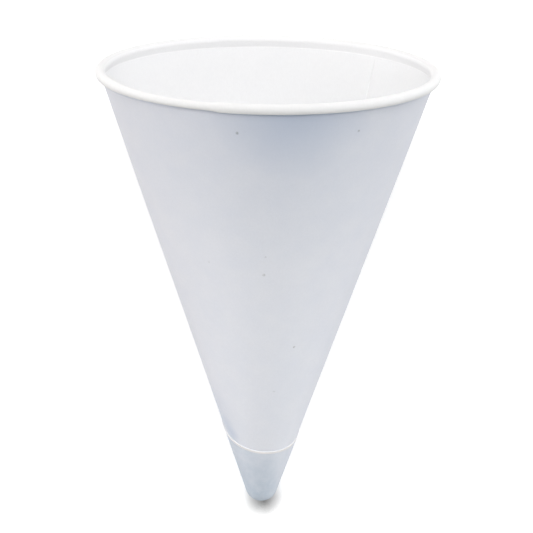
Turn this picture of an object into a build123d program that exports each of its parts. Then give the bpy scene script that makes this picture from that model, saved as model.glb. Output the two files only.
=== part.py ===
"""A cone paper cup with a rolled rim, lying on its side as it comes to rest.

The cup is one sheet of paper. It is wound into a cone, lapped and glued along one side, folded shut
at the tip and rolled outwards at the rim. It touches the floor with its tip and with a small flat spot
of the rolled rim. +Y runs from the tip towards the mouth and +Z is up. The origin is on the floor,
under the middle of the cup's box. The cup's front, where the end of the sheet crosses the tip, faces
up, and the lapped side, which is the heavier one, lies underneath.
"""
import os
from math import acos, asin, atan2, cos, degrees, hypot, radians, sin, tan

from build123d import *

# Whole cup
rim_diameter = 73.0
cup_height = 98.3

# Thickness of the paper
paper = 0.15

# Tip: its outside radius, and how much of its inside the folded paper fills
tip_radius = 3.6
tip_fill = 2.0

# Rolled rim: the outside radius of its section, how far it stands out past the wall, and the slit
# left between the neck and the end of the rolled paper
roll_radius = 1.05
roll_overhang = 1.04
roll_slit = 0.2

# Depth to which the roll is pressed flat where the cup rests on it
rest_flat = 0.35

# Crease below the roll: its depth under the middle of the roll, and how far short of it the outer
# layer of the lap stops
crease_depth = 1.5
layer_stop = 0.2

# Straight cut end of the sheet, wound round the outside: its least distance from the cone's point,
# measured along the wall, and the azimuth where that is. Azimuths are degrees about the cup's axis,
# from the front towards +X.
end_distance = 22.6
end_azimuth = 15.6

# Lap: the azimuth of its middle, its width, and the width in which the outer layer climbs on to the
# inner one, all in degrees
lap_azimuth = 178.0
lap_angle = 90.0
lap_climb = 4.0

# Number of points each wound line is drawn through
line_points = 31

# The wall in the section is a straight line that touches the round tip. Its angle is to the axis,
# and the heights are along the axis, from the cone's point.
roll_centre_radius = rim_diameter/2 - roll_radius
wall_top_radius = rim_diameter/2 - roll_overhang
tip_inner_radius = tip_radius - paper
tip_to_roll = cup_height - roll_radius - tip_radius
wall_angle = atan2(wall_top_radius, tip_to_roll) - asin(
    tip_inner_radius/hypot(wall_top_radius, tip_to_roll))
tip_height = tip_inner_radius/sin(wall_angle)
roll_height = tip_height + tip_to_roll

# The floor is a straight line that touches the tip and the pressed roll
pressed_radius = roll_radius - rest_flat
lying_angle = atan2(roll_centre_radius, tip_to_roll) - asin(
    (tip_radius-pressed_radius)/hypot(roll_centre_radius, tip_to_roll))
tip_end = tip_height*cos(lying_angle) - tip_radius
rim_end = roll_height*cos(lying_angle) + roll_centre_radius*sin(lying_angle) + roll_radius
cone_point = Vector(0, -(tip_end+rim_end)/2, tip_radius - tip_height*sin(lying_angle))
axis_direction = Vector(0, cos(lying_angle), sin(lying_angle))
front_direction = Vector(0, -sin(lying_angle), cos(lying_angle))
cup_axis = Axis(cone_point, axis_direction)


def facing(azimuth):
    """The direction straight out from the axis at an azimuth."""
    return Vector(sin(radians(azimuth)), 0, 0) + front_direction*cos(radians(azimuth))


def section_plane(azimuth):
    """The plane of a section. Its x runs out from the axis, and its y along it from the cone's point."""
    out = facing(azimuth)
    return Plane(origin=cone_point, x_dir=out, z_dir=out.cross(axis_direction))


def on_wall(reach, out=0.0):
    """A point of the section, some way up the wall and some way out from the outside of one layer."""
    return Vector(
        reach*sin(wall_angle) + out*cos(wall_angle),
        reach*cos(wall_angle) - out*sin(wall_angle))


def on_roll(radius, angle):
    """A point of the section at an angle round the middle of the roll."""
    return roll_centre + Vector(cos(radians(angle)), sin(radians(angle)))*radius


def in_place(azimuth, point):
    """A point of the section, set at an azimuth of the lying cup."""
    return cone_point + facing(azimuth)*point.X + axis_direction*point.Y


# The neck is the straight stretch of paper between the crease and the roll
roll_centre = Vector(roll_centre_radius, roll_height)
crease_reach = (roll_height - crease_depth - paper*sin(wall_angle))/cos(wall_angle)
crease_inside = on_wall(crease_reach, -paper)
to_roll = roll_centre - crease_inside
neck_angle = atan2(to_roll.X, to_roll.Y) - asin(roll_radius/to_roll.length)
crease_turn = wall_angle - neck_angle
crease_outside = on_wall(crease_reach + paper*tan(crease_turn/2))
layer_reach = crease_reach - layer_stop

# The roll starts where the neck touches it, and turns until it is one slit short of the neck
roll_start = 180 - degrees(neck_angle)
roll_turn = 360 - degrees(acos((roll_radius-paper-roll_slit)/roll_radius))
roll_end = roll_start - roll_turn
slit_clearance = 10

# The round end of the hollow touches the inside of the wall
hollow_end = tip_height - tip_radius + tip_fill
hollow_radius = (hollow_end*sin(wall_angle) - paper)/(1 - sin(wall_angle))
hollow_height = hollow_end + hollow_radius

lap_start = lap_azimuth - lap_angle/2
lap_end = lap_azimuth + lap_angle/2


def end_line(out):
    """The sheet's straight end as it is wound on the wall, and on past both sides of the lap."""
    first = lap_end - 360 - lap_climb
    turn = 360 - lap_angle + 5*lap_climb
    azimuths = [first + turn*k/(line_points-1) for k in range(line_points)]
    reaches = [end_distance/cos(radians(azimuth-end_azimuth)*sin(wall_angle)) for azimuth in azimuths]
    return Spline([in_place(azimuth, on_wall(reach, out)) for azimuth, reach in zip(azimuths, reaches)])


def climb_line(reach, start_out, first, last):
    """A line round the wall that climbs one thickness of paper in each climb width of the lap."""
    climbs = [first + (last-first)*k/(line_points-1) for k in range(line_points)]
    return Spline([
        in_place(lap_start + climb*lap_climb, on_wall(reach, start_out + climb*paper))
        for climb in climbs])


def climb_cut(start_out, first, last):
    """The surface through two such lines, one near the tip and one past the crease."""
    low = climb_line(end_distance/3, start_out, first, last)
    high = climb_line(roll_height/cos(wall_angle), start_out, first, last)
    return Face.make_surface_from_curves(low, high)


# Cut surfaces: along the sheet's straight end, and along the outside and the inside of the climb
with BuildLine(mode=Mode.PRIVATE):
    end_cut = Face.make_surface_from_curves(end_line(-paper), end_line(3*paper))
    outside_cut = climb_cut(0.0, -1, 3)
    inside_cut = climb_cut(-paper, -2, 2)

# The room over the single wall, above the sheet's straight end and beside the lap
with BuildPart() as bare_wall:
    with BuildSketch(section_plane(lap_end)):
        with BuildLine():
            Polyline(
                on_wall(end_distance/2),
                on_wall(layer_reach+paper),
                on_wall(layer_reach+paper, 2*paper),
                on_wall(end_distance/2, 2*paper),
                close=True)
        make_face()
    revolve(axis=cup_axis, revolution_arc=360-lap_angle+2.5*lap_climb)
    split(bisect_by=end_cut, keep=Keep.BOTTOM)
    split(bisect_by=outside_cut, keep=Keep.TOP)

# The room under the climbing outer layer, up to the cut edge of the inner layer
with BuildPart() as climb_wedge:
    with BuildSketch(section_plane(lap_start-lap_climb)):
        with BuildLine():
            Polyline(
                on_wall(end_distance, -3*paper),
                on_wall(layer_reach-2*paper, -3*paper),
                on_wall(layer_reach-2*paper),
                on_wall(end_distance),
                close=True)
        make_face()
    revolve(axis=cup_axis, revolution_arc=2*lap_climb)
    split(bisect_by=inside_cut, keep=Keep.BOTTOM)

# Crease, neck and roll, filled, in two half turns, and cut off flat at the floor
with BuildPart() as filled_rim:
    for half_start in (90, 270):
        with BuildSketch(section_plane(half_start)):
            with BuildLine():
                Polyline(on_wall(layer_reach, -paper), crease_inside, on_roll(roll_radius, roll_start))
                roll_outside = EllipticalCenterArc(
                    roll_centre, roll_radius, roll_radius, start_angle=roll_end, arc_size=roll_turn)
                Polyline(
                    roll_outside @ 0, crease_outside, on_wall(layer_reach), on_wall(layer_reach, -paper))
            make_face()
        revolve(axis=cup_axis, revolution_arc=180, clean=False)
    split(bisect_by=Plane.XY, keep=Keep.TOP)

# The room inside the roll with the slit that opens it, kept one thickness of paper off the floor. Its
# outline runs on past the slit, clear of the paper.
with BuildPart() as roll_room:
    for half_start in (90, 270):
        with BuildSketch(section_plane(half_start)):
            with BuildLine():
                Line(crease_outside, on_roll(roll_radius-paper, roll_start))
                roll_inside = EllipticalCenterArc(
                    roll_centre, roll_radius-paper, roll_radius-paper,
                    start_angle=roll_end, arc_size=roll_turn)
                Polyline(
                    roll_inside @ 0,
                    on_roll(roll_radius, roll_end),
                    on_roll(roll_radius+paper, roll_end+slit_clearance),
                    crease_outside)
            make_face()
        revolve(axis=cup_axis, revolution_arc=180, clean=False)
    split(bisect_by=Plane.XY.offset(paper), keep=Keep.TOP)

# The tip and the wall, two layers thick, less the room beside the lap, and then the rolled rim
with BuildPart() as cup:
    with BuildSketch(section_plane(lap_start)):
        with BuildLine():
            tip_outside = CenterArc((0, tip_height), tip_radius, -90, 90-degrees(wall_angle))
            hollow_bottom = CenterArc(
                (0, hollow_height), hollow_radius, -degrees(wall_angle), degrees(wall_angle)-90)
            Polyline(
                tip_outside @ 1,
                on_wall(layer_reach, paper),
                on_wall(layer_reach, -paper),
                hollow_bottom @ 0)
            Line(hollow_bottom @ 1, tip_outside @ 0)
        make_face()
    revolve(axis=cup_axis)
    add(bare_wall.part, mode=Mode.SUBTRACT)
    add(climb_wedge.part, mode=Mode.SUBTRACT)
    add(filled_rim.part, clean=False)
    add(roll_room.part, clean=False, mode=Mode.SUBTRACT)
cup.part.label = "cup"

os.makedirs("parts", exist_ok=True)
export_step(cup.part, "parts/cup.step")
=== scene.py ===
"""A cone paper cup lying on a pale floor: dressed meshes, paper materials, lights and camera."""
from math import acos, asin, atan2, cos, hypot, pi, radians, sin, tan

import bpy
from mathutils import Matrix, Vector, noise


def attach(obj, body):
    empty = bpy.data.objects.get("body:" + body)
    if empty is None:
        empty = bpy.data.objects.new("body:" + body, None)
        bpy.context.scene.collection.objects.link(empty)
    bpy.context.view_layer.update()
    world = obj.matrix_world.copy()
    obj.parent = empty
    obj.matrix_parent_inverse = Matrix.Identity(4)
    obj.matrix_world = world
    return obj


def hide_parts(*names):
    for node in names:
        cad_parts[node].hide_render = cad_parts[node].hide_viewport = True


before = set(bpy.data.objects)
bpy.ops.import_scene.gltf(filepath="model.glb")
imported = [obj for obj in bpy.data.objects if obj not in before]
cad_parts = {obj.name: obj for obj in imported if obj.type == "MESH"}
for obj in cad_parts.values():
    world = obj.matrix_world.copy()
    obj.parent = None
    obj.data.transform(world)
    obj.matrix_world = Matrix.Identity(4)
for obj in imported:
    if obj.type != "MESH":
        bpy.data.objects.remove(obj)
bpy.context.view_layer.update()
MM = 0.001

# Sizes of the cup in millimetres and degrees, as in its solid
rim_diameter = 73.0
cup_height = 98.3
paper = 0.15
tip_radius = 3.6
tip_fill = 2.0
roll_radius = 1.05
roll_overhang = 1.04
roll_slit = 0.2
crease_depth = 1.5
end_distance = 22.6
end_azimuth = 15.6
lap_azimuth = 178.0
lap_angle = 90.0
lap_climb = 4.0
rest_flat = 0.35

# Sizes that only the scene has, in the same units: the radius of the bend at the crease, and the middle
# and width of the side that the cup rests on, which is opposite the front
CREASE_BEND = 0.6
REST_AZIMUTH = 180.0
REST_WIDTH = 15.0

# The section, worked out from those sizes
roll_centre_radius = rim_diameter/2 - roll_radius
wall_top_radius = rim_diameter/2 - roll_overhang
tip_inner_radius = tip_radius - paper
tip_to_roll = cup_height - roll_radius - tip_radius
wall_angle = atan2(wall_top_radius, tip_to_roll) - asin(
    tip_inner_radius/hypot(wall_top_radius, tip_to_roll))
tip_height = tip_inner_radius/sin(wall_angle)
roll_height = tip_height + tip_to_roll
roll_centre = Vector((roll_centre_radius, roll_height))

# The cup's place on the floor, which touches the tip and the pressed roll
pressed_radius = roll_radius - rest_flat
lying_angle = atan2(roll_centre_radius, tip_to_roll) - asin(
    (tip_radius-pressed_radius)/hypot(roll_centre_radius, tip_to_roll))
tip_end = tip_height*cos(lying_angle) - tip_radius
rim_end = roll_height*cos(lying_angle) + roll_centre_radius*sin(lying_angle) + roll_radius
cone_point = Vector((0, -(tip_end+rim_end)/2, tip_radius - tip_height*sin(lying_angle)))
axis_direction = Vector((0, cos(lying_angle), sin(lying_angle)))
front_direction = Vector((0, -sin(lying_angle), cos(lying_angle)))


def on_wall(reach, out=0.0):
    """A point of the section, up the wall and out from the outside of one layer."""
    return Vector((
        reach*sin(wall_angle) + out*cos(wall_angle),
        reach*cos(wall_angle) - out*sin(wall_angle)))


# Crease, neck and roll, the hollow's round end, and the lap, worked out in the same way
wall_out = Vector((cos(wall_angle), -sin(wall_angle)))
crease_reach = (roll_height - crease_depth - paper*sin(wall_angle))/cos(wall_angle)
to_roll = roll_centre - on_wall(crease_reach, -paper)
neck_angle = atan2(to_roll.x, to_roll.y) - asin(roll_radius/to_roll.length)
crease_turn = wall_angle - neck_angle
bend_reach = crease_reach - CREASE_BEND*tan(crease_turn/2)
bend_centre = on_wall(bend_reach, -paper-CREASE_BEND)
roll_start = pi - neck_angle
roll_turn = 2*pi - acos((roll_radius-paper-roll_slit)/roll_radius)
hollow_end = tip_height - tip_radius + tip_fill
hollow_radius = (hollow_end*sin(wall_angle) - paper)/(1 - sin(wall_angle))
hollow_height = hollow_end + hollow_radius
lap_start = lap_azimuth - lap_angle/2
lap_end = lap_azimuth + lap_angle/2

# Unevenness of the soft paper, as waves of noise: how far out each goes in millimetres, how fine it is,
# and where in the noise it is read. One turn about the axis is a circle of the radius WAVES_ROUND in the
# noise, and WAVES_UP millimetres up the cup are one unit of it.
WAVES = (
    (0.10, 1.0, Vector((3.1, 7.7, 1.3))),
    (0.035, 2.6, Vector((9.2, 0.4, 5.5))),
)
WAVES_ROUND = 1.7
WAVES_UP = 42

# The waves grow over these degrees from the side that the cup rests on, and over these heights from the
# cone's point, and there are none nearer the axis than this radius
WAVES_FROM_REST = (0, 30)
WAVES_FROM_POINT = (8, 30)
EVEN_RADIUS = 2

# The edge between two faces is sharp where they meet at more than this angle, in degrees
SHARP_ANGLE = 40

# Samples of each look at how open a surface is
OPEN_SAMPLES = 8


def smooth(low, high, value):
    """0 below low, 1 above high, and a soft step between."""
    share = min(1.0, max(0.0, (value-low)/(high-low)))
    return share*share*(3 - 2*share)


def turn_from(middle, azimuth):
    """The turn from one azimuth to another, between -180 and 180 degrees."""
    return (azimuth - middle + 180) % 360 - 180


def sway(azimuth, height):
    """How far the uneven paper lies out from its true place, in millimetres."""
    turn = radians(azimuth)
    place = Vector((cos(turn)*WAVES_ROUND, sin(turn)*WAVES_ROUND, height/WAVES_UP))
    amount = sum(size*noise.noise(place*fineness + shift) for size, fineness, shift in WAVES)
    from_rest = abs(turn_from(REST_AZIMUTH, azimuth)) - REST_WIDTH/2
    fade = smooth(*WAVES_FROM_REST, from_rest)*smooth(*WAVES_FROM_POINT, height)
    return amount*fade


def in_place(azimuth, point, inner=False):
    """A point of the section as a vertex in metres, at an azimuth about the cup's axis.

    The roll is pressed flat where it meets the floor, and its inner face keeps off the floor by the
    thickness of the paper.
    """
    radius, height = point
    if radius > EVEN_RADIUS:
        radius += sway(azimuth, height)
    turn = radians(azimuth)
    out = Vector((sin(turn), 0, 0)) + front_direction*cos(turn)
    place = cone_point + out*radius + axis_direction*height
    if height > crease_reach*cos(wall_angle):
        place.z = max(place.z, paper if inner else 0.0)
    return place*MM


def arc(centre, radius, start, turn, steps):
    """Points along an arc of the section."""
    angles = [start + turn*k/steps for k in range(steps+1)]
    return [Vector((centre[0] + radius*cos(angle), centre[1] + radius*sin(angle))) for angle in angles]


def add_piece(name, vertices, faces, materials):
    """A mesh piece that stands for the cup's solid. A face is its corners and its material's number."""
    used = sorted({corner for corners, _ in faces for corner in corners})
    number = {corner: k for k, corner in enumerate(used)}
    mesh = bpy.data.meshes.new(name)
    mesh.from_pydata(
        [vertices[corner] for corner in used], [],
        [[number[corner] for corner in corners] for corners, _ in faces])
    for material in materials:
        mesh.materials.append(material)
    mesh.polygons.foreach_set("material_index", [slot for _, slot in faces])
    mesh.update()
    mesh.shade_smooth()
    mesh.set_sharp_from_angle(angle=radians(SHARP_ANGLE))
    piece = bpy.data.objects.new(name, mesh)
    bpy.context.scene.collection.objects.link(piece)
    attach(piece, "root")
    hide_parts("cup")


def set_inputs(tree, node, inputs):
    """Gives inputs of a node their values: outputs of other nodes, numbers, vectors or colours."""
    for name, value in inputs.items():
        socket = node.inputs[name]
        if isinstance(value, bpy.types.NodeSocket):
            tree.links.new(value, socket)
        elif socket.type == "RGBA":
            socket.default_value = (*value, 1)
        else:
            socket.default_value = value


def add_node(tree, kind, inputs=None, **settings):
    """A new node, with its settings and the values of its inputs."""
    node = tree.nodes.new("ShaderNode" + kind)
    for name, value in settings.items():
        setattr(node, name, value)
    set_inputs(tree, node, inputs or {})
    return node


def ranged(tree, value, low, high, to_low, to_high):
    """A value spread from one range to another, and kept inside it."""
    node = add_node(tree, "MapRange", {
        "Value": value, "From Min": low, "From Max": high, "To Min": to_low, "To Max": to_high})
    return node.outputs["Result"]


def combined(tree, operation, first, second):
    """Two values added or multiplied, or the larger of the two."""
    return add_node(tree, "Math", {0: first, 1: second}, operation=operation).outputs[0]


def distance(tree, place, point):
    """How far a place is from a point, in metres."""
    return add_node(tree, "VectorMath", {0: place, 1: point}, operation="DISTANCE").outputs["Value"]


def mixed(tree, factor, first, second):
    """The first colour with the second laid over it by a factor."""
    return add_node(tree, "Mix", {0: factor, 6: first, 7: second}, data_type="RGBA").outputs[2]


def open_share(tree, reach):
    """How open the surface is, from 0 to 1, to what lies within a reach in metres."""
    return add_node(tree, "AmbientOcclusion", {"Distance": reach}, samples=OPEN_SAMPLES).outputs["AO"]


def noise_between(tree, place, kind, to_low, to_high, stretch=None):
    """Noise over the object, spread between two values."""
    scale, detail, roughness, low, high = kind
    if stretch:
        place = add_node(tree, "Mapping", {"Vector": place, "Scale": stretch}).outputs["Vector"]
    texture = add_node(tree, "TexNoise", {
        "Vector": place, "Scale": scale, "Detail": detail, "Roughness": roughness})
    return ranged(tree, texture.outputs["Fac"], low, high, to_low, to_high)


# Noise in the paper: its scale, detail and roughness, and the two levels that it is spread between
MOTTLE = (170, 5, 0.6, 0.35, 0.65)
FIBRES = (2600, 4, 0.6, 0.35, 0.65)
PITS = (6500, 3, 0.6, 0.3, 0.7)
PATCHES = (420, 5, 0.65, 0.38, 0.62)

# Fibres: how they are stretched, their tone as a share of the paper's, and how much of it shows
FIBRE_STRETCH = (1, 0.45, 1)
FIBRE_TONE = 0.9
FIBRE_STRENGTH = 0.22

# Bump: the heights of fibres and pits in it, its strength, and its depth in metres
FIBRE_HEIGHT = 0.55
PIT_HEIGHT = 0.45
BUMP_STRENGTH = 0.25
BUMP_DEPTH = 0.00003

# Strength of the paper's faint gloss
PAPER_GLOSS = 0.25

# Specks in the paper: azimuth, reach up the wall, radius in millimetres, and how dark they are
SPECKS = (
    (-10.2, 104.5, 0.42, 0.60),
    (33.2, 104.1, 0.36, 0.45),
    (-0.4, 70.2, 0.42, 0.30),
    (0.4, 74.8, 0.30, 0.22),
    (23.0, 51.1, 0.32, 0.40),
    (10.8, 39.5, 0.35, 0.14),
    (-30.0, 72.2, 0.35, 0.12),
    (128.0, 88.0, 0.34, 0.35),
    (-98.0, 60.0, 0.30, 0.35),
    (205.0, 78.0, 0.38, 0.40),
)
SPECK_COLOUR = (0.16, 0.17, 0.14)

# A speck is evenly dark over this share of its radius. Its ragged outline comes from finer noise, which
# moves it by up to this many metres.
SPECK_CORE = 0.35
SPECK_RAGGED = 0.0007
SPECK_NOISE_SCALE = 2200
SPECK_NOISE_DETAIL = 3

# Soft bluish painted shade on the paper: the rim's shadow under the rim, the shadow of the lifted end
# beside the left end of the line across the tip, and darkening low on the left side: azimuth, reach,
# radius and strength, and the share of the radius over which they are even
PAINTED_SHADES = (
    (9.0, 111.0, 18.0, 0.55),
    (7.0, 112.0, 44.0, 0.20),
    (-52.0, 26.0, 2.4, 0.36),
    (-58.0, 28.5, 2.6, 0.20),
    (-82.0, 29.0, 10.0, 0.30),
)
PAINTED_SHADE_COLOUR = (0.40, 0.49, 0.65)
PAINTED_SHADE_CORE = 0.05

# Painted shade on the outer layer at the tip. It fades over these metres along the axis, counted from the
# cone's point, and over these to the right of the middle, where a share of it is left. Its patches have
# at least the low strength.
DARK_ALONG = (0.008, 0.033)
DARK_ACROSS = (0.0015, 0.0042)
DARK_RIGHT = 0.5
DARK_PATCH_LOW = 0.7
TIP_SHADE_COLOUR = (0.485, 0.56, 0.65)

# Shade in creases: how far it looks in metres, how open the paper is where the shade is full and where
# it ends, and its strength
CREASE_SHADE_REACH = 0.0045
CREASE_SHADE_OPEN = (0.3, 0.95)
CREASE_SHADE_STRENGTH = 0.45
CREASE_SHADE_COLOUR = (0.50, 0.56, 0.70)


def with_specks(tree, place, tint):
    """A colour with the paper's specks in it."""
    jitter = add_node(tree, "TexNoise", {
        "Vector": place, "Scale": SPECK_NOISE_SCALE, "Detail": SPECK_NOISE_DETAIL})
    ragged = add_node(tree, "VectorMath", {
        0: jitter.outputs["Color"], 1: (SPECK_RAGGED,)*3, 2: place}, operation="MULTIPLY_ADD")
    for azimuth, reach, radius, dark in SPECKS:
        middle = in_place(azimuth, on_wall(reach)) + Vector((SPECK_RAGGED/2,)*3)
        away = distance(tree, ragged.outputs[0], middle)
        spot = ranged(tree, away, radius*MM*SPECK_CORE, radius*MM, dark, 0)
        tint = mixed(tree, spot, tint, SPECK_COLOUR)
    return tint


def with_painted_shades(tree, place, tint):
    """A colour with the soft bluish painted shade in it."""
    for azimuth, reach, radius, strength in PAINTED_SHADES:
        away = distance(tree, place, in_place(azimuth, on_wall(reach)))
        spot = ranged(tree, away, radius*MM*PAINTED_SHADE_CORE, radius*MM, strength, 0)
        tint = mixed(tree, spot, tint, PAINTED_SHADE_COLOUR)
    return tint


def with_painted_tip_shade(tree, place, tint):
    """A colour with the painted shade at the tip in it."""
    along = add_node(tree, "VectorMath", {0: place, 1: axis_direction}, operation="DOT_PRODUCT")
    start, end = [cone_point.dot(axis_direction)*MM + height for height in DARK_ALONG]
    depth = ranged(tree, along.outputs["Value"], start, end, 1, 0)
    across = add_node(tree, "SeparateXYZ", {"Vector": place})
    side = ranged(tree, across.outputs["X"], *DARK_ACROSS, 1, DARK_RIGHT)
    patches = noise_between(tree, place, PATCHES, DARK_PATCH_LOW, 1)
    share = combined(tree, "MULTIPLY", depth, combined(tree, "MULTIPLY", patches, side))
    return mixed(tree, share, tint, TIP_SHADE_COLOUR)


def paper_material(name, colour, mottle, roughness, outside=False, painted_tip_shade=False):
    """Matt paper with fibres, a soft mottle and fine pits, and on the outside specks and painted shade
    too.
    """
    material = bpy.data.materials.new(name)
    material.use_nodes = True
    tree = material.node_tree
    place = add_node(tree, "TexCoord").outputs["Object"]
    grain = noise_between(tree, place, FIBRES, 0, 1, FIBRE_STRETCH)
    tint = mixed(tree, noise_between(tree, place, MOTTLE, 0, 1), colour, mottle)
    fibre_colour = tuple(level*FIBRE_TONE for level in colour)
    tint = mixed(tree, ranged(tree, grain, 0, 1, 0, FIBRE_STRENGTH), tint, fibre_colour)
    if outside:
        tint = with_painted_shades(tree, place, with_specks(tree, place, tint))
    if painted_tip_shade:
        tint = with_painted_tip_shade(tree, place, tint)
    if outside:
        creased = ranged(
            tree, open_share(tree, CREASE_SHADE_REACH), *CREASE_SHADE_OPEN, CREASE_SHADE_STRENGTH, 0)
        tint = mixed(tree, creased, tint, CREASE_SHADE_COLOUR)
    height = combined(
        tree, "ADD", ranged(tree, grain, 0, 1, 0, FIBRE_HEIGHT),
        noise_between(tree, place, PITS, 0, PIT_HEIGHT))
    bump = add_node(tree, "Bump", {
        "Strength": BUMP_STRENGTH, "Distance": BUMP_DEPTH, "Height": height})
    set_inputs(tree, tree.nodes["Principled BSDF"], {
        "Base Color": tint, "Roughness": roughness, "Specular IOR Level": PAPER_GLOSS,
        "Normal": bump.outputs["Normal"]})
    return material


# Materials: the paper's colour, the colour of its mottle, and its roughness
# The outside and the outer layer get a darker, bluer copy of the inside's paper: painted shade.
SHADED_OUTSIDE_LOOK = ((0.79, 0.805, 0.856), (0.765, 0.785, 0.847), 0.85)
outside_paper = paper_material("paper_outside", *SHADED_OUTSIDE_LOOK, outside=True)
wrap_paper = paper_material("paper_wrap", *SHADED_OUTSIDE_LOOK, outside=True, painted_tip_shade=True)
inside_paper = paper_material("paper_inside", (0.885, 0.888, 0.895), (0.875, 0.88, 0.89), 0.85)
rim_paper = paper_material("paper_rim", (0.89, 0.89, 0.89), (0.875, 0.878, 0.882), 0.7)
# The neck gets a brighter copy of the paper than the inside: painted light.
lit_neck_paper = paper_material("paper_neck_painted_light", (0.95, 0.95, 0.955), (0.94, 0.942, 0.95), 0.8)
# The cut edges, and the last rows of the outer layer below its free end, get a brighter, warmer paper: a
# painted highlight where light catches the edge.
edge_highlight_paper = paper_material("paper_edge_highlight", (0.835, 0.82, 0.82), (0.815, 0.805, 0.81), 0.9)

# The wall, once round: hollow, inside, crease, neck and rolled rim, and back down the outside to the tip
HOLLOW_STEPS = 8
TIP_STEPS = 14
WALL_STEPS = 56
BEND_STEPS = 5
ROLL_STEPS = 36

section = []
section += arc((0, hollow_height), hollow_radius, -pi/2, pi/2 - wall_angle, HOLLOW_STEPS)
inner_low = hollow_height*cos(wall_angle)
first_inner = len(section)
section += [on_wall(inner_low + (bend_reach-inner_low)*k/WALL_STEPS, -paper) for k in range(1, WALL_STEPS)]
last_inner = len(section)
section += arc(bend_centre, CREASE_BEND, -wall_angle, crease_turn, BEND_STEPS)
first_rim = len(section)
section += arc(roll_centre, roll_radius, roll_start, -roll_turn, ROLL_STEPS)
first_roll_room = len(section)
section += arc(roll_centre, roll_radius-paper, roll_start-roll_turn, roll_turn, ROLL_STEPS)
last_rim = len(section)
section += arc(bend_centre, CREASE_BEND+paper, -wall_angle+crease_turn, -crease_turn, BEND_STEPS)
outer_low = tip_height*cos(wall_angle)
section += [on_wall(bend_reach - (bend_reach-outer_low)*k/WALL_STEPS) for k in range(1, WALL_STEPS)]
section += arc((0, tip_height), tip_inner_radius, -wall_angle, wall_angle-pi/2, TIP_STEPS)

# Columns of the wall, in degrees: even ones, less those near the step at the end of the climb, and one
# close to each side of that step
COLUMNS = 432
STEP_CLEAR = 0.2
STEP_HALF_WIDTH = 0.02
step = lap_start + lap_climb
azimuths = sorted(
    [360*k/COLUMNS for k in range(COLUMNS) if abs(360*k/COLUMNS - step) > STEP_CLEAR]
    + [step-STEP_HALF_WIDTH, step+STEP_HALF_WIDTH])

# The roll was pressed to the left of the front: the share of its radius that it has lost, the azimuths
# over which the press deepens, and those over which it ends in a kink
PRESS = 0.22
PRESS_DEEPENS = (-80, -30)
PRESS_ENDS = (-18.5, -15.5)

# Materials of the wall's faces, and how many faces of the roll look as the neck does
OUTSIDE, INSIDE, RIM, NECK = range(4)
NECK_STEPS = 6


def groove(azimuth, index):
    """How far out the inside of the wall lies where it climbs over the inner layer's cut edge."""
    if not first_inner <= index < last_inner:
        return 0.0
    climb = (azimuth - lap_start)/lap_climb
    reach = inner_low + (bend_reach-inner_low)*(index-first_inner+1)/WALL_STEPS
    if not 0 < climb < 1 or reach < end_distance or reach > bend_reach-2*paper:
        return 0.0
    return climb*paper


def roll_press(azimuth):
    """How much of its radius the roll has lost at an azimuth."""
    turn = turn_from(0, azimuth)
    return PRESS*smooth(*PRESS_DEEPENS, turn)*(1 - smooth(*PRESS_ENDS, turn))


def wall_point(azimuth, index):
    """A point of the section as it is at an azimuth, in the pressed roll or over the cut edge."""
    if first_rim <= index < last_rim:
        return roll_centre + (section[index]-roll_centre)*(1 - roll_press(azimuth))
    return section[index] + wall_out*groove(azimuth, index)


def wall_side(index):
    """The material of the face that follows a point of the section."""
    if index < last_inner:
        return INSIDE
    if index < first_rim + NECK_STEPS:
        return NECK
    return RIM if index < last_rim-1 else OUTSIDE


vertices = [
    in_place(azimuth, wall_point(azimuth, index), first_roll_room <= index < last_rim)
    for azimuth in azimuths
    for index in range(1, len(section)-1)]
hollow_pole = len(vertices)
tip_pole = hollow_pole + 1
vertices += [in_place(0, section[0]), in_place(0, section[-1])]
rows = len(section) - 2
faces = []
for column in range(len(azimuths)):
    here = column*rows
    there = (column+1) % len(azimuths)*rows
    for row in range(rows-1):
        faces.append(((here+row, there+row, there+row+1, here+row+1), wall_side(row+1)))
    faces.append(((hollow_pole, there, here), INSIDE))
    faces.append(((tip_pole, here+rows-1, there+rows-1), OUTSIDE))
add_piece("cup_wall", vertices, faces, [outside_paper, inside_paper, rim_paper, lit_neck_paper])

# The outer layer: round the tip below the sheet's straight end, and up the lap to the crease. Its columns
# across the lap and round the rest of the turn, and its rows up the tip and up the lap
LAP_COLUMNS = 120
FREE_COLUMNS = 340
TIP_ROWS = 40
LAP_ROWS = 60

# Its edges go down to this far out from the wall's surface, in millimetres, which is a little inside it
SUNK = -0.03

# Its free end, in millimetres: the last stretch, where the rows lie closer, their places as shares of it,
# the bevel of the edge, and how far and over what length the end is lifted. The lift grows over these
# degrees from the lap.
LIP = 1.0
LIP_SHARES = (0.75, 0.5, 0.22)
BEVEL = 0.04
LIFT = 0.05
LIFT_LENGTH = 1.6
LIFT_GROWS = 4

# Materials of its faces, and how many rows of faces up to its end have the edge's brighter paper, a
# painted highlight
LAYER, EDGE_HIGHLIGHT = range(2)
EDGE_HIGHLIGHT_ROWS = 4


def end_reach(azimuth):
    """How far up the wall the sheet's straight end lies at an azimuth."""
    return end_distance/cos(radians(turn_from(end_azimuth, azimuth))*sin(wall_angle))


def layer_out(azimuth, below_end):
    """How far out the outer layer stands: it lifts a little along its free end."""
    from_lap = abs(turn_from(lap_azimuth, azimuth)) - lap_angle/2
    return paper + LIFT*smooth(LIFT_LENGTH, 0, below_end)*smooth(0, LIFT_GROWS, from_lap)


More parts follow.
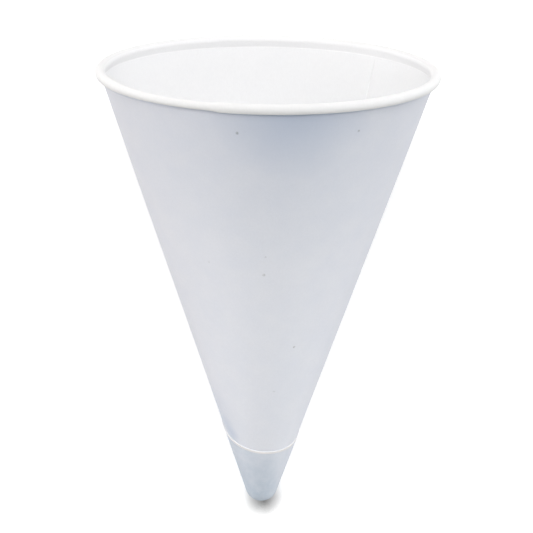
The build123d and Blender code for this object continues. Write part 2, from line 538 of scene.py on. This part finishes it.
def wrap_column(azimuth):
    """Points of the layer's outer face from the tip to the straight end, and one under that end."""
    top = end_reach(azimuth)
    reaches = [outer_low + (top-LIP-outer_low)*k/TIP_ROWS for k in range(1, TIP_ROWS+1)]
    reaches += [top - LIP*share for share in LIP_SHARES] + [top - BEVEL]
    return (
        arc((0, tip_height), tip_radius, -pi/2, pi/2 - wall_angle, TIP_STEPS)[1:]
        + [on_wall(reach, layer_out(azimuth, top-reach)) for reach in reaches]
        + [on_wall(top, layer_out(azimuth, 0) - BEVEL), on_wall(top, SUNK)])


def lap_column(azimuth, out):
    """Points up the lap, from just below the straight end to the crease."""
    low = end_reach(azimuth) - LIP
    return [on_wall(low + (bend_reach-low)*k/LAP_ROWS, out) for k in range(LAP_ROWS+1)]


def between(here, there, count):
    """The faces between two columns of points, from their first points up."""
    return [(here+row, here+row+1, there+row+1, there+row) for row in range(count-1)]


lap_azimuths = [lap_start + lap_angle*k/LAP_COLUMNS for k in range(LAP_COLUMNS+1)]
wrap_azimuths = lap_azimuths + [
    lap_end + (360-lap_angle)*k/FREE_COLUMNS for k in range(1, FREE_COLUMNS)]
vertices = [in_place(azimuth, point) for azimuth in wrap_azimuths for point in wrap_column(azimuth)]
pole = len(vertices)
rows = pole//len(wrap_azimuths)
vertices.append(in_place(0, Vector((0, tip_height-tip_radius))))
faces = []
for column, azimuth in enumerate(wrap_azimuths):
    here = column*rows
    there = (column+1) % len(wrap_azimuths)*rows
    faces.append(((pole, here, there), LAYER))
    # On the lap, past its climb, there is no free end, and the lap's own rows take over below it
    in_lap = column < LAP_COLUMNS
    count = TIP_STEPS + TIP_ROWS if in_lap and azimuth > lap_start + lap_climb else rows
    for row, corners in enumerate(between(here, there, count)):
        on_edge = not in_lap and row >= rows - 1 - EDGE_HIGHLIGHT_ROWS
        faces.append((corners, EDGE_HIGHLIGHT if on_edge else LAYER))

# The lap itself, which climbs on to the inner layer and ends in a ledge at the crease
first = len(vertices)
rows = LAP_ROWS + 2
for azimuth in lap_azimuths:
    out = SUNK + (paper-SUNK)*smooth(0, lap_climb, azimuth-lap_start)
    points = lap_column(azimuth, out) + [on_wall(bend_reach, SUNK)]
    vertices += [in_place(azimuth, point) for point in points]
for column in range(LAP_COLUMNS):
    here = first + column*rows
    strip = between(here, here+rows, rows)
    faces += [(corners, LAYER) for corners in strip[:-1]] + [(strip[-1], EDGE_HIGHLIGHT)]

# The cut edge up the lap's free side
edge = len(vertices)
vertices += [in_place(lap_end, point) for point in lap_column(lap_end, SUNK)]
faces += [(corners, EDGE_HIGHLIGHT) for corners in between(first + LAP_COLUMNS*rows, edge, LAP_ROWS+1)]
add_piece("cup_wrap", vertices, faces, [wrap_paper, edge_highlight_paper])

# Floor: half its width in metres, and its plain colour as the cup sees it
FLOOR = 3.0
FLOOR_COLOUR = (0.85, 0.85, 0.85)

# The camera sees the floor white, with a painted shadow close round the tip: the middle of the shadow and
# how far it goes, how far up the cup is looked for and how open the floor is where the shadow starts, and
# the floor's level in the shadow. All lengths are in metres.
TIP_CONTACT = (0.0007, -0.0527, 0)
CONTACT_WIDTH = 0.006
COVER_REACH = 0.012
COVER_OPEN = 0.85
CONTACT_LEVEL = 0.22

# The floor's own glow for the camera: in the open, in the painted shadow, and what is added far from the
# cup, over these distances in metres
GLOW_OPEN = 0.3
GLOW_CONTACT = 0.05
GLOW_FAR = 0.9
GLOW_GROWS = (0.14, 0.3)

# Light that comes from the white surroundings
FILL_COLOUR = (0.78, 0.88, 1.0)
FILL_STRENGTH = 0.01


def floor_material():
    """White to the camera, with a painted shadow under the tip, and plain to everything else."""
    material = bpy.data.materials.new("floor_white")
    material.use_nodes = True
    tree = material.node_tree
    tree.nodes.clear()
    place = add_node(tree, "TexCoord").outputs["Object"]
    from_tip = distance(tree, place, TIP_CONTACT)
    painted_shadow = combined(
        tree, "MULTIPLY", ranged(tree, open_share(tree, COVER_REACH), COVER_OPEN, 1, 1, 0),
        ranged(tree, from_tip, 0, CONTACT_WIDTH, 1, 0))
    strength = combined(
        tree, "ADD", ranged(tree, painted_shadow, 0, 1, GLOW_OPEN, GLOW_CONTACT),
        ranged(tree, from_tip, *GLOW_GROWS, 0, GLOW_FAR))
    white = add_node(tree, "BsdfDiffuse", {"Color": ranged(tree, painted_shadow, 0, 1, 1, CONTACT_LEVEL)})
    glow = add_node(tree, "Emission", {"Strength": strength})
    seen = add_node(tree, "AddShader", {0: white.outputs[0], 1: glow.outputs[0]})
    plain = add_node(tree, "BsdfDiffuse", {"Color": FLOOR_COLOUR})
    by_camera = add_node(tree, "LightPath").outputs["Is Camera Ray"]
    chosen = add_node(tree, "MixShader", {0: by_camera, 1: plain.outputs[0], 2: seen.outputs[0]})
    add_node(tree, "OutputMaterial", {"Surface": chosen.outputs[0]})
    return material


def surroundings():
    """A world that is seen white and gives only a faint cool fill light."""
    world = bpy.data.worlds.new("studio")
    world.use_nodes = True
    tree = world.node_tree
    tree.nodes.clear()
    ray = add_node(tree, "LightPath").outputs
    mirrored = combined(tree, "MAXIMUM", ray["Is Glossy Ray"], ray["Is Transmission Ray"])
    seen = combined(tree, "MAXIMUM", ray["Is Camera Ray"], mirrored)
    fill = add_node(tree, "Background", {"Color": FILL_COLOUR, "Strength": FILL_STRENGTH})
    white = add_node(tree, "Background", {"Color": (1, 1, 1)})
    chosen = add_node(tree, "MixShader", {0: seen, 1: fill.outputs[0], 2: white.outputs[0]})
    add_node(tree, "OutputWorld", {"Surface": chosen.outputs[0]})
    return world


floor_mesh = bpy.data.meshes.new("floor")
floor_mesh.from_pydata(
    [(-FLOOR, -FLOOR, 0), (FLOOR, -FLOOR, 0), (FLOOR, FLOOR, 0), (-FLOOR, FLOOR, 0)], [], [(0, 1, 2, 3)])
floor_mesh.materials.append(floor_material())
floor = bpy.data.objects.new("floor", floor_mesh)
bpy.context.scene.collection.objects.link(floor)
bpy.context.scene.world = surroundings()

# Square lamps that face a point above the floor: name, azimuth, elevation, distance, size, power and
# colour, in degrees and metres. Azimuth 0 is over -Y, the tip's side, and 90 over +X.
LAMP_AIM = Vector((0, 0, 0.03))
LAMPS = (
    ("lamp_mouth", 180, 40, 0.9, 0.5, 2.0, (1.0, 0.98, 0.95)),
    ("lamp_above", 180, 72, 0.9, 0.5, 4.1, (1.0, 1.0, 1.0)),
    ("lamp_left", 268, 35, 0.9, 0.4, 1.0, (1.0, 0.97, 0.98)),
    ("lamp_left_low", 268, 8, 0.6, 0.3, 1.3, (1.0, 0.96, 0.93)),
    ("lamp_right_low", 92, 8, 0.6, 0.3, 1.05, (0.97, 1.0, 1.0)),
    ("lamp_left_back", 228, 18, 0.6, 0.3, 0.40, (1.0, 1.0, 1.0)),
    ("lamp_right_back", 132, 18, 0.6, 0.3, 0.85, (1.0, 0.98, 1.0)),
    ("lamp_right_tip", 55, 12, 0.5, 0.25, 0.22, (1.0, 0.95, 0.95)),
    ("lamp_tip", 0, 40, 0.13, 0.08, 0.060, (0.99, 1.0, 0.98)),
)
for name, azimuth, elevation, away, size, power, colour in LAMPS:
    turn = radians(azimuth)
    rise = radians(elevation)
    place = Vector((sin(turn)*cos(rise), -cos(turn)*cos(rise), sin(rise)))*away
    lamp = bpy.data.lights.new(name, "AREA")
    lamp.shape = "SQUARE"
    lamp.size = size
    lamp.energy = power
    lamp.color = colour
    light = bpy.data.objects.new(name, lamp)
    light.location = place + LAMP_AIM
    light.rotation_euler = place.to_track_quat("Z", "Y").to_euler()
    bpy.context.scene.collection.objects.link(light)

# Camera, placed about the upright cup and then laid down with it: its distance from the middle of the
# rim in millimetres, how high it stands and how it is turned, and its lens in millimetres
CAMERA_DISTANCE = 480.0
CAMERA_RISE = radians(11.922)
CAMERA_AIM = radians(-4.903)
CAMERA_SIDE = radians(0.041)
CAMERA_ROLL = radians(0.959)
CAMERA_LENS = 153.07
CAMERA_SENSOR = 36.0


def laid_down(vector):
    """A direction of the upright cup, with its front on -Y, as it is in the lying one."""
    return Vector((vector[0], 0, 0)) - front_direction*vector[1] + axis_direction*vector[2]


pitch = -CAMERA_RISE + CAMERA_AIM
look = Vector((sin(CAMERA_SIDE)*cos(pitch), cos(CAMERA_SIDE)*cos(pitch), sin(pitch)))
right = look.cross(Vector((0, 0, 1))).normalized()
up = right.cross(look)
camera_right = right*cos(CAMERA_ROLL) + up*sin(CAMERA_ROLL)
camera_up = up*cos(CAMERA_ROLL) - right*sin(CAMERA_ROLL)
eye = Vector((0, -CAMERA_DISTANCE*cos(CAMERA_RISE), roll_height + CAMERA_DISTANCE*sin(CAMERA_RISE)))
lens = bpy.data.cameras.new("camera")
lens.sensor_width = CAMERA_SENSOR
lens.lens = CAMERA_LENS
lens.clip_start = 0.01
lens.clip_end = 20.0
camera = bpy.data.objects.new("camera", lens)
bpy.context.scene.collection.objects.link(camera)
turned = Matrix((laid_down(camera_right), laid_down(camera_up), laid_down(-look))).transposed()
camera.matrix_world = Matrix.Translation((cone_point + laid_down(eye))*MM) @ turned.to_4x4()
bpy.context.scene.camera = camera

bpy.context.scene.view_settings.view_transform = "Standard"
